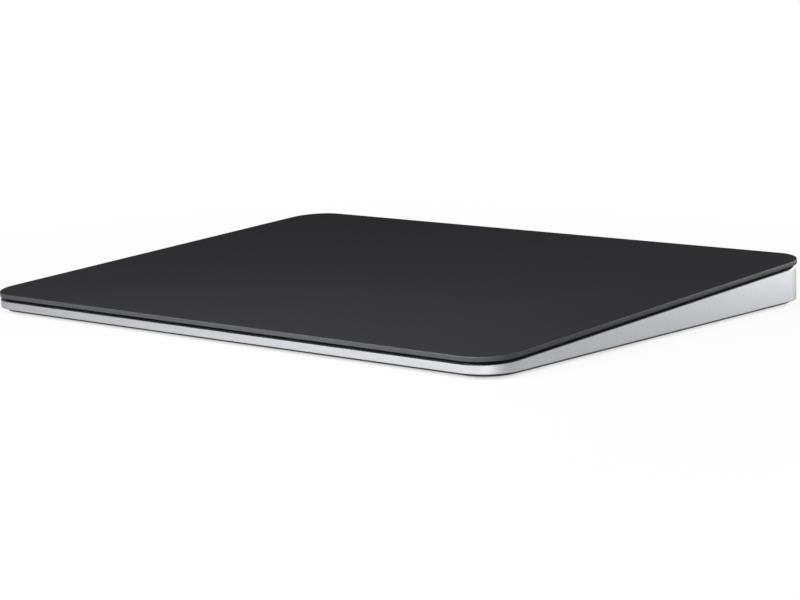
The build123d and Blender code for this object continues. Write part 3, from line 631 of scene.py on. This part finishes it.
def new_tree(name, sockets):
    """An empty Geometry Nodes tree with a geometry input, named inputs and one output."""
    tree = bpy.data.node_groups.new(name, "GeometryNodeTree")
    tree.interface.new_socket("Geometry", in_out="INPUT", socket_type="NodeSocketGeometry")
    for socket, kind in sockets.items():
        tree.interface.new_socket(socket, in_out="INPUT", socket_type="NodeSocket" + kind)
    tree.interface.new_socket("Geometry", in_out="OUTPUT", socket_type="NodeSocketGeometry")
    return tree, put(tree, "NodeGroupInput").outputs


def end_tree(tree, geometry, given):
    """Realizes the instances, gives the material and closes the tree."""
    solid = put(tree, "GeometryNodeRealizeInstances", {"Geometry": geometry})
    painted = put(tree, "GeometryNodeSetMaterial", {
        "Geometry": solid.outputs["Geometry"], "Material": given["Material"]})
    put(tree, "NodeGroupOutput", {"Geometry": painted.outputs["Geometry"]})
    return tree


def turned_in_grid_tree():
    """Turns a half section about its axis and sets a copy on each point of a grid."""
    tree, given = new_tree("Turned feet", {
        "Radius": "Float", "Across": "Float", "Along": "Float", "Centre": "Vector",
        "Material": "Material"})
    circle = put(tree, "GeometryNodeCurvePrimitiveCircle", {
        "Resolution": 72, "Radius": given["Radius"]}, mode="RADIUS")
    section = put(tree, "GeometryNodeMeshToCurve", {"Mesh": given["Geometry"]})
    turned = put(tree, "GeometryNodeCurveToMesh", {
        "Curve": circle.outputs["Curve"], "Profile Curve": section.outputs["Curve"]})
    closed = put(tree, "GeometryNodeMergeByDistance", {
        "Geometry": turned.outputs["Mesh"], "Distance": 0.002 * MM})
    grid = put(tree, "GeometryNodeMeshGrid", {
        "Size X": given["Across"], "Size Y": given["Along"], "Vertices X": 2, "Vertices Y": 2})
    placed = put(tree, "GeometryNodeTransform", {
        "Geometry": grid.outputs["Mesh"], "Translation": given["Centre"]})
    copies = put(tree, "GeometryNodeInstanceOnPoints", {
        "Points": placed.outputs["Geometry"], "Instance": closed.outputs["Geometry"]})
    return end_tree(tree, copies.outputs["Instances"], given)


def rows_tree():
    """Sets copies of one bar in an upper and a lower row at an even pitch."""
    tree, given = new_tree("Contact rows", {
        "Count": "Int", "Pitch": "Float", "Gap": "Float", "Middle": "Vector",
        "Material": "Material"})
    step = put(tree, "ShaderNodeCombineXYZ", {"X": given["Pitch"]})
    line = put(tree, "GeometryNodeMeshLine", {
        "Count": given["Count"], "Offset": step.outputs["Vector"]}, mode="OFFSET")
    row = put(tree, "GeometryNodeInstanceOnPoints", {
        "Points": line.outputs["Mesh"], "Instance": given["Geometry"]})
    steps = put(tree, "ShaderNodeMath", {0: given["Count"], 1: 1.0}, operation="SUBTRACT")
    run = put(tree, "ShaderNodeMath", {0: steps.outputs[0], 1: given["Pitch"]},
              operation="MULTIPLY")
    back = put(tree, "ShaderNodeMath", {0: run.outputs[0], 1: -0.5}, operation="MULTIPLY")
    both = put(tree, "GeometryNodeJoinGeometry")
    for side in (0.5, -0.5):
        rise = put(tree, "ShaderNodeMath", {0: given["Gap"], 1: side}, operation="MULTIPLY")
        shift = put(tree, "ShaderNodeCombineXYZ", {"X": back.outputs[0], "Z": rise.outputs[0]})
        moved = put(tree, "GeometryNodeTransform", {
            "Geometry": row.outputs["Instances"], "Translation": shift.outputs["Vector"]})
        tree.links.new(moved.outputs["Geometry"], both.inputs["Geometry"])
    placed = put(tree, "GeometryNodeTransform", {
        "Geometry": both.outputs["Geometry"], "Translation": given["Middle"]})
    return end_tree(tree, placed.outputs["Geometry"], given)


def glass_slope(sizes):
    """Angle by which the glass rises to the rear."""
    return math.atan2(sizes.rear_height - sizes.front_height, sizes.glass_depth)


def outline(half_wide, half_long, radius, steps):
    """Points round a rectangle with round corners, anticlockwise, from its front right."""
    points = []
    for corner, (side, end) in enumerate([(1, -1), (1, 1), (-1, 1), (-1, -1)]):
        middle = Vector((side * (half_wide - radius), end * (half_long - radius)))
        for step in range(steps + 1):
            angle = math.radians(90) * (corner - 1 + step / steps)
            points.append(middle + radius * Vector((math.cos(angle), math.sin(angle))))
    return points


class TRACKPAD_OT_glass(bpy.types.Operator):
    """Builds the floating glass plate with its ground edges"""

    bl_idname = "trackpad.glass"
    bl_label = "Glass plate"

    def execute(self, context):
        sizes = context.scene.trackpad_sizes
        tilt = glass_slope(sizes)
        half_wide = (GLASS_HIGH.x - GLASS_LOW.x) / 2
        half_long = sizes.glass_depth / math.cos(tilt) / 2
        round_edge = sizes.glass_round
        lower_round = round_edge / 2
        # How far in from the outline and how far below the top each ring of the edge lies
        rings = [(1.2 * MM, 0.0)]
        for step in range(5):
            turn = math.radians(90) * step / 4
            rings.append((round_edge * (1 - math.sin(turn)), round_edge * (1 - math.cos(turn))))
        for step in range(4):
            turn = math.radians(90) * step / 3
            rings.append((
                lower_round * (1 - math.cos(turn)),
                sizes.glass_thickness - lower_round * (1 - math.sin(turn))))
        rings.append((1.2 * MM, sizes.glass_thickness))
        slope = Matrix.Rotation(tilt, 4, "X")
        middle = Vector((0, 0, (sizes.front_height + sizes.rear_height) / 2))
        plate = bmesh.new()
        loops = []
        for inset, drop in rings:
            points = outline(half_wide - inset, half_long - inset, sizes.glass_corner - inset, 16)
            loops.append([
                plate.verts.new(middle + slope @ Vector((p.x, p.y, -drop))) for p in points])
        plate.faces.new(loops[0])
        plate.faces.new(reversed(loops[-1]))
        count = len(loops[0])
        for number, (upper, lower) in enumerate(zip(loops, loops[1:])):
            for at in range(count):
                after = (at + 1) % count
                face = plate.faces.new((upper[at], lower[at], lower[after], upper[after]))
                # Only the upright side is ground; above and below it the black print shows
                face.material_index = 1 if 2 <= number <= 5 else 0
        bmesh.ops.recalc_face_normals(plate, faces=plate.faces)
        for face in plate.faces:
            face.smooth = True
        mesh = bpy.data.meshes.new("glass_plate")
        plate.to_mesh(mesh)
        plate.free()
        mesh.materials.append(FINISHES["etched_black_glass"])
        mesh.materials.append(ground_glass(context.scene.trackpad_colours))
        own(link("glass_plate", mesh), "touch_glass")
        return {"FINISHED"}


class TRACKPAD_OT_feet(bpy.types.Operator):
    """Turns the four rubber feet"""

    bl_idname = "trackpad.feet"
    bl_label = "Rubber feet"

    def execute(self, context):
        sizes = context.scene.trackpad_sizes
        low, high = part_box("foot_front_left")
        far_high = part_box("foot_rear_right")[1]
        radius = (high.x - low.x) / 2
        height = high.z - low.z
        section = bmesh.new()
        edge, groove = sizes.foot_round, sizes.foot_groove
        # Half section from the axis to the rim: a flat face with one shallow ring, a round
        # lower edge, an upright side and the flat back that sits in the cover
        points = [(0, 0), (0.58 * radius, 0), (0.6 * radius, groove), (0.66 * radius, groove),
                  (0.68 * radius, 0), (radius - edge, 0)]
        for step in range(1, 6):
            turn = math.radians(90) * step / 5
            points.append((radius - edge * (1 - math.sin(turn)), edge * (1 - math.cos(turn))))
        points += [(radius, height), (0, height)]
        line = [section.verts.new((out - radius, -up, 0)) for out, up in points]
        for start, stop in zip(line, line[1:]):
            section.edges.new((start, stop))
        mesh = bpy.data.meshes.new("foot_section")
        section.to_mesh(mesh)
        section.free()
        middle = (low + far_high) / 2
        feet = grown("rubber_feet", turned_in_grid_tree(), {
            "Radius": radius,
            "Across": far_high.x - low.x - 2 * radius,
            "Along": far_high.y - low.y - 2 * radius,
            "Centre": (middle.x, middle.y, low.z),
            "Material": FINISHES["black_foot_rubber"]}, mesh)
        tidy_skin(feet, 40)
        own(feet, "foot_front_left", "foot_front_right", "foot_rear_left", "foot_rear_right")
        return {"FINISHED"}


def tidy_skin(piece, angle):
    """Faces outwards, and smooth wherever the surface turns by less than the angle."""
    skin = bmesh.new()
    skin.from_mesh(piece.data)
    bmesh.ops.recalc_face_normals(skin, faces=skin.faces)
    for face in skin.faces:
        face.smooth = True
    for edge in skin.edges:
        edge.smooth = edge.calc_face_angle(0.0) < math.radians(angle)
    skin.to_mesh(piece.data)
    skin.free()


class TRACKPAD_OT_port(bpy.types.Operator):
    """Finishes the charging port and lays its contacts"""

    bl_idname = "trackpad.port"
    bl_label = "Charging port"

    def execute(self, context):
        sizes = context.scene.trackpad_sizes
        low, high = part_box("charge_port_contacts")
        count = round((high.x - low.x - sizes.contact_width) / sizes.contact_pitch) + 1
        tall = 0.07 * MM
        bar = bmesh.new()
        bmesh.ops.create_cube(bar, size=1.0)
        bmesh.ops.scale(bar, verts=bar.verts, vec=(
            sizes.contact_width, high.y - low.y, tall))
        bmesh.ops.bevel(
            bar, geom=bar.edges, offset=0.02 * MM, segments=2, affect="EDGES", profile=0.5)
        mesh = bpy.data.meshes.new("contact_bar")
        bar.to_mesh(mesh)
        bar.free()
        middle = (low + high) / 2
        contacts = grown("port_contacts", rows_tree(), {
            "Count": count,
            "Pitch": sizes.contact_pitch,
            "Gap": high.z - low.z - tall,
            "Middle": tuple(middle),
            "Material": FINISHES["gold_plate"]}, mesh)
        tidy_skin(contacts, 40)
        own(contacts, "charge_port_contacts")
        softened("charge_port_insert", "port_insert", sizes.pressed_edge)
        return {"FINISHED"}


class TRACKPAD_OT_switch(bpy.types.Operator):
    """Rounds the power switch's knob, slide and lever"""

    bl_idname = "trackpad.switch"
    bl_label = "Power switch"

    def execute(self, context):
        sizes = context.scene.trackpad_sizes
        softened("switch_knob", "slide_knob", sizes.moulded_edge / 2)
        softened("switch_slide", "knob_slide", sizes.pressed_edge)
        softened("switch_lever", "slide_lever", sizes.pressed_edge)
        softened("switch_body", "switch_case", sizes.moulded_edge)
        softened("switch_on_mark", "on_mark", 0.02 * MM)
        return {"FINISHED"}


class TRACKPAD_OT_springs(bpy.types.Operator):
    """Cuts copies of the spring leaves and the sensor's flex cable into even steps along their
    bend
    """

    bl_idname = "trackpad.springs"
    bl_label = "Spring leaves"

    def execute(self, context):
        sizes = context.scene.trackpad_sizes
        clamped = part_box("strain_gauges")[1].x
        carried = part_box("gel_pads")[1].x
        for end in ("front_left", "front_right", "rear_left", "rear_right"):
            low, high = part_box("flexure_" + end)
            side = math.copysign(1, low.x)
            middle = (low + high) / 2
            bent("flexure_" + end, "spring_leaf_" + end,
                 Vector((side * clamped, middle.y, middle.z)),
                 Vector((side * carried, middle.y, middle.z)))
        low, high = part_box("touch_flex")
        plug_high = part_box("sensor_connector")[1]
        middle = (low.x + high.x) / 2
        bent("touch_flex", "touch_cable",
             Vector((middle, high.y - sizes.cable_foot, low.z)),
             Vector((middle, plug_high.y, high.z)))
        return {"FINISHED"}


class TRACKPAD_OT_inner_parts(bpy.types.Operator):
    """Rounds the moulded, pressed and soft parts inside the body"""

    bl_idname = "trackpad.inner_parts"
    bl_label = "Inner parts"

    def execute(self, context):
        sizes = context.scene.trackpad_sizes
        softened("gel_pads", "silicone_pads", sizes.soft_edge)
        softened("board_chips", "epoxy_chips", sizes.pressed_edge)
        softened("sensor_chips", "epoxy_touch_chips", sizes.pressed_edge)
        softened("board_connectors", "moulded_sockets", sizes.moulded_edge)
        softened("sensor_connector", "moulded_plug", sizes.moulded_edge)
        softened("board_shield", "shield_can", sizes.moulded_edge)
        softened("switch_guide", "bent_guide", sizes.pressed_edge / 2)
        softened("antenna_clip", "bent_clip", sizes.pressed_edge / 2)
        return {"FINISHED"}


class TRACKPAD_OT_finishes(bpy.types.Operator):
    """Gives every solid part its material"""

    bl_idname = "trackpad.finishes"
    bl_label = "Materials"

    def execute(self, context):
        frame["slots"] = {node: slot_of(node) for node in frame["nodes"]}
        FINISHES.update(make_finishes(
            context.scene.trackpad_colours, context.scene.trackpad_sizes))
        for node, part in frame["nodes"].items():
            part.material_slots[0].material = FINISHES[frame["slots"][node]]
        return {"FINISHED"}


# Place and side of each softbox, in metres
LAMPS = {
    "front": ((0.03, -0.19, 0.12), 0.12),
    "left": ((-0.22, -0.45, 0.22), 0.3),
    "right": ((0.45, -0.50, 0.12), 0.3),
    "end": ((0.19, 0.225, 0.05), 0.1),
    "back": ((0.04, 0.65, 0.2), 0.4),
    "under": ((0.1, -0.1, -0.6), 0.6),
}


class TRACKPAD_OT_stage(bpy.types.Operator):
    """Sets up the floor, the studio light and the camera"""

    bl_idname = "trackpad.stage"
    bl_label = "Studio"

    def execute(self, context):
        studio = context.scene.trackpad_studio
        floor_mesh = bpy.data.meshes.new("floor")
        side = studio.floor_side / 2
        floor_mesh.from_pydata(
            [(-side, -side, 0), (side, -side, 0), (side, side, 0), (-side, side, 0)],
            [], [(0, 1, 2, 3)])
        floor_mesh.materials.append(floor_finish(context.scene.trackpad_sizes))
        floor = link("floor", floor_mesh)
        floor.location.z = -0.02 * MM
        for name, (place, size) in LAMPS.items():
            lamp(name + "_lamp", place, size, getattr(studio, name + "_power"))
        daylight(context.scene)
        camera(context.scene, studio)
        context.scene.view_settings.view_transform = "Standard"
        return {"FINISHED"}


# Distances outside the body, in millimetres, between which the floor's glow fades in; the fade
# near the body is a painted contact shadow
PAINTED_CONTACT_SHADOW = (-6.5, -1.0)
OPEN_FLOOR = 120.0
# Span behind the body, in millimetres along it, where the floor glows for glossy rays alone: a
# painted reflection in the metal
GLOSSY_REAR_GLOW = (60.0, 200.0)
# How far under the body the floor starts to let light through
LIGHT_HOLE = 2.0


def floor_finish(sizes):
    """Matt white paper sweep: seen from the camera it glows white, and near the body the glow
    fades into a painted soft shadow.

    Under the object it stays dark for the camera, and lets light through, so that the
    underside can be looked at from below.
    """
    material = bpy.data.materials.new("paper_sweep")
    material.use_nodes = True
    tree = material.node_tree
    tree.nodes.clear()
    here = put(tree, "ShaderNodeTexCoord").outputs["Object"]
    outside = body_reach(tree, here, sizes)
    # Painted contact shadow: the glow is held low near and under the body, over the paper's own
    # shade
    near = put(tree, "ShaderNodeMapRange", {
        "Value": outside, "From Min": PAINTED_CONTACT_SHADOW[0] * MM,
        "From Max": PAINTED_CONTACT_SHADOW[1] * MM, "To Min": 0.15, "To Max": 0.94})
    far = put(tree, "ShaderNodeMapRange", {
        "Value": outside, "From Min": PAINTED_CONTACT_SHADOW[1] * MM,
        "From Max": OPEN_FLOOR * MM, "To Min": 0.0, "To Max": 0.06})
    light = put(tree, "ShaderNodeMath", {0: near.outputs[0], 1: far.outputs[0]})
    path = put(tree, "ShaderNodeLightPath").outputs
    paper = put(tree, "ShaderNodeBsdfDiffuse", {"Color": rgba("#b6b6b6")})
    glow = put(tree, "ShaderNodeEmission", {"Color": (1, 1, 1, 1), "Strength": 1.0})
    # Painted reflection: for glossy rays alone the floor behind the object glows, so the metal
    # mirrors it paler, in place of a sweep that rises there
    along = put(tree, "ShaderNodeSeparateXYZ", {"Vector": here}).outputs["Y"]
    rear = put(tree, "ShaderNodeMapRange", {
        "Value": along, "From Min": GLOSSY_REAR_GLOW[0] * MM, "From Max": GLOSSY_REAR_GLOW[1] * MM,
        "To Min": 0.0, "To Max": 0.3})
    to_camera = put(tree, "ShaderNodeMath", {0: light.outputs[0], 1: path["Is Camera Ray"]},
                    operation="MULTIPLY")
    painted_reflection_share = put(tree, "ShaderNodeMath", {0: rear.outputs[0], 1: path["Is Glossy Ray"]},
                   operation="MULTIPLY")
    share = put(tree, "ShaderNodeMath", {
        0: to_camera.outputs[0], 1: painted_reflection_share.outputs[0]})
    seen = put(tree, "ShaderNodeMixShader", {
        "Fac": share.outputs[0], 1: paper.outputs[0], 2: glow.outputs[0]})
    under = put(tree, "ShaderNodeMath", {0: outside, 1: -LIGHT_HOLE * MM},
                operation="LESS_THAN")
    unseen = put(tree, "ShaderNodeMath", {0: 1.0, 1: path["Is Camera Ray"]},
                 operation="SUBTRACT")
    window = put(tree, "ShaderNodeMath", {0: under.outputs[0], 1: unseen.outputs[0]},
                 operation="MULTIPLY")
    below = put(tree, "ShaderNodeNewGeometry").outputs["Backfacing"]
    open_share = put(tree, "ShaderNodeMath", {0: below, 1: window.outputs[0]}, operation="MAXIMUM")
    clear = put(tree, "ShaderNodeBsdfTransparent")
    one_sided = put(tree, "ShaderNodeMixShader", {
        "Fac": open_share.outputs[0], 1: seen.outputs[0], 2: clear.outputs[0]})
    put(tree, "ShaderNodeOutputMaterial", {"Surface": one_sided.outputs[0]})
    return material


def lamp(name, place, size, power):
    """A square softbox that looks at the middle of the object."""
    light = bpy.data.lights.new(name, "AREA")
    light.size = size
    light.energy = power
    holder = bpy.data.objects.new(name, light)
    holder.location = place
    aim = Vector((0, 0, 0.005)) - Vector(place)
    holder.rotation_euler = aim.to_track_quat("-Z", "Y").to_euler()
    holder.visible_camera = False
    bpy.context.scene.collection.objects.link(holder)


def daylight(scene):
    """White behind the object, and a dimmer studio on the camera's right for the metal."""
    world = bpy.data.worlds.new("studio")
    scene.world = world
    world.use_nodes = True
    tree = world.node_tree
    tree.nodes.clear()
    path = put(tree, "ShaderNodeLightPath").outputs
    towards = put(tree, "ShaderNodeTexCoord").outputs["Generated"]
    facing = put(tree, "ShaderNodeVectorMath", {0: towards, 1: (0.65, -0.72, -0.2)},
                 operation="DOT_PRODUCT")
    mirrored = put(tree, "ShaderNodeMapRange", {
        "Value": facing.outputs["Value"], "From Min": -1.0, "From Max": 1.0,
        "To Min": 0.1, "To Max": 0.4})
    level = put(tree, "ShaderNodeMix", {
        "Factor": path["Is Glossy Ray"], "A": 0.25, "B": mirrored.outputs["Result"]},
        data_type="FLOAT")
    plain = put(tree, "ShaderNodeMath", {
        0: path["Is Camera Ray"], 1: path["Is Transmission Ray"]}, operation="MAXIMUM")
    strength = put(tree, "ShaderNodeMix", {
        "Factor": plain.outputs[0], "A": level.outputs["Result"], "B": 1.0},
        data_type="FLOAT")
    sky = put(tree, "ShaderNodeBackground", {
        "Color": (1, 1, 1, 1), "Strength": strength.outputs["Result"]})
    put(tree, "ShaderNodeOutputWorld", {"Surface": sky.outputs[0]})


def camera(scene, studio):
    """Looks from the front right, a little above the glass."""
    target = Vector((27.871, -30.118, 4.0)) * MM
    around, above = math.radians(42.646), math.radians(9.929)
    back = Vector((
        math.sin(around) * math.cos(above), -math.cos(around) * math.cos(above),
        math.sin(above)))
    right = (-back).cross(Vector((0, 0, 1))).normalized()
    up = right.cross(-back)
    turn = Matrix.Rotation(-studio.roll, 3, -back)
    right, up = turn @ right, turn @ up
    seen = bpy.data.cameras.new("camera")
    seen.lens = studio.lens
    seen.sensor_width = 36
    seen.sensor_fit = "HORIZONTAL"
    seen.shift_x, seen.shift_y = 0.0105, 0.0253
    seen.clip_start, seen.clip_end = 0.01, 30
    holder = bpy.data.objects.new("camera", seen)
    holder.matrix_world = Matrix.Translation(target + back * 553.35 * MM) @ Matrix(
        (right, up, back)).transposed().to_4x4()
    scene.collection.objects.link(holder)
    scene.camera = holder


class TRACKPAD_PT_sidebar(bpy.types.Panel):
    bl_idname = "TRACKPAD_PT_sidebar"
    bl_label = "Trackpad"
    bl_space_type = "VIEW_3D"
    bl_region_type = "UI"
    bl_category = "Trackpad"

    def draw(self, context):
        layout = self.layout
        for group in (context.scene.trackpad_sizes, context.scene.trackpad_colours,
                      context.scene.trackpad_studio):
            box = layout.box()
            for name in group.bl_rna.properties.keys():
                if name not in ("rna_type", "name"):
                    box.prop(group, name)
        for operator in OPERATORS:
            layout.operator(operator.bl_idname)


OPERATORS = (
    TRACKPAD_OT_finishes, TRACKPAD_OT_glass, TRACKPAD_OT_feet, TRACKPAD_OT_port,
    TRACKPAD_OT_switch, TRACKPAD_OT_springs, TRACKPAD_OT_inner_parts, TRACKPAD_OT_stage)
CLASSES = (TrackpadSizes, TrackpadColours, TrackpadStudio, *OPERATORS, TRACKPAD_PT_sidebar)


def register():
    for made in CLASSES:
        bpy.utils.register_class(made)
    scene = bpy.types.Scene
    scene.trackpad_sizes = bpy.props.PointerProperty(type=TrackpadSizes)
    scene.trackpad_colours = bpy.props.PointerProperty(type=TrackpadColours)
    scene.trackpad_studio = bpy.props.PointerProperty(type=TrackpadStudio)


def unregister():
    scene = bpy.types.Scene
    del scene.trackpad_studio, scene.trackpad_colours, scene.trackpad_sizes
    for made in reversed(CLASSES):
        bpy.utils.unregister_class(made)


def main():
    register()
    bpy.ops.trackpad.finishes()
    bpy.ops.trackpad.glass()
    bpy.ops.trackpad.feet()
    bpy.ops.trackpad.port()
    bpy.ops.trackpad.switch()
    bpy.ops.trackpad.springs()
    bpy.ops.trackpad.inner_parts()
    bpy.ops.trackpad.stage()
    bpy.context.view_layer.update()


if __name__ == "__main__":
    main()
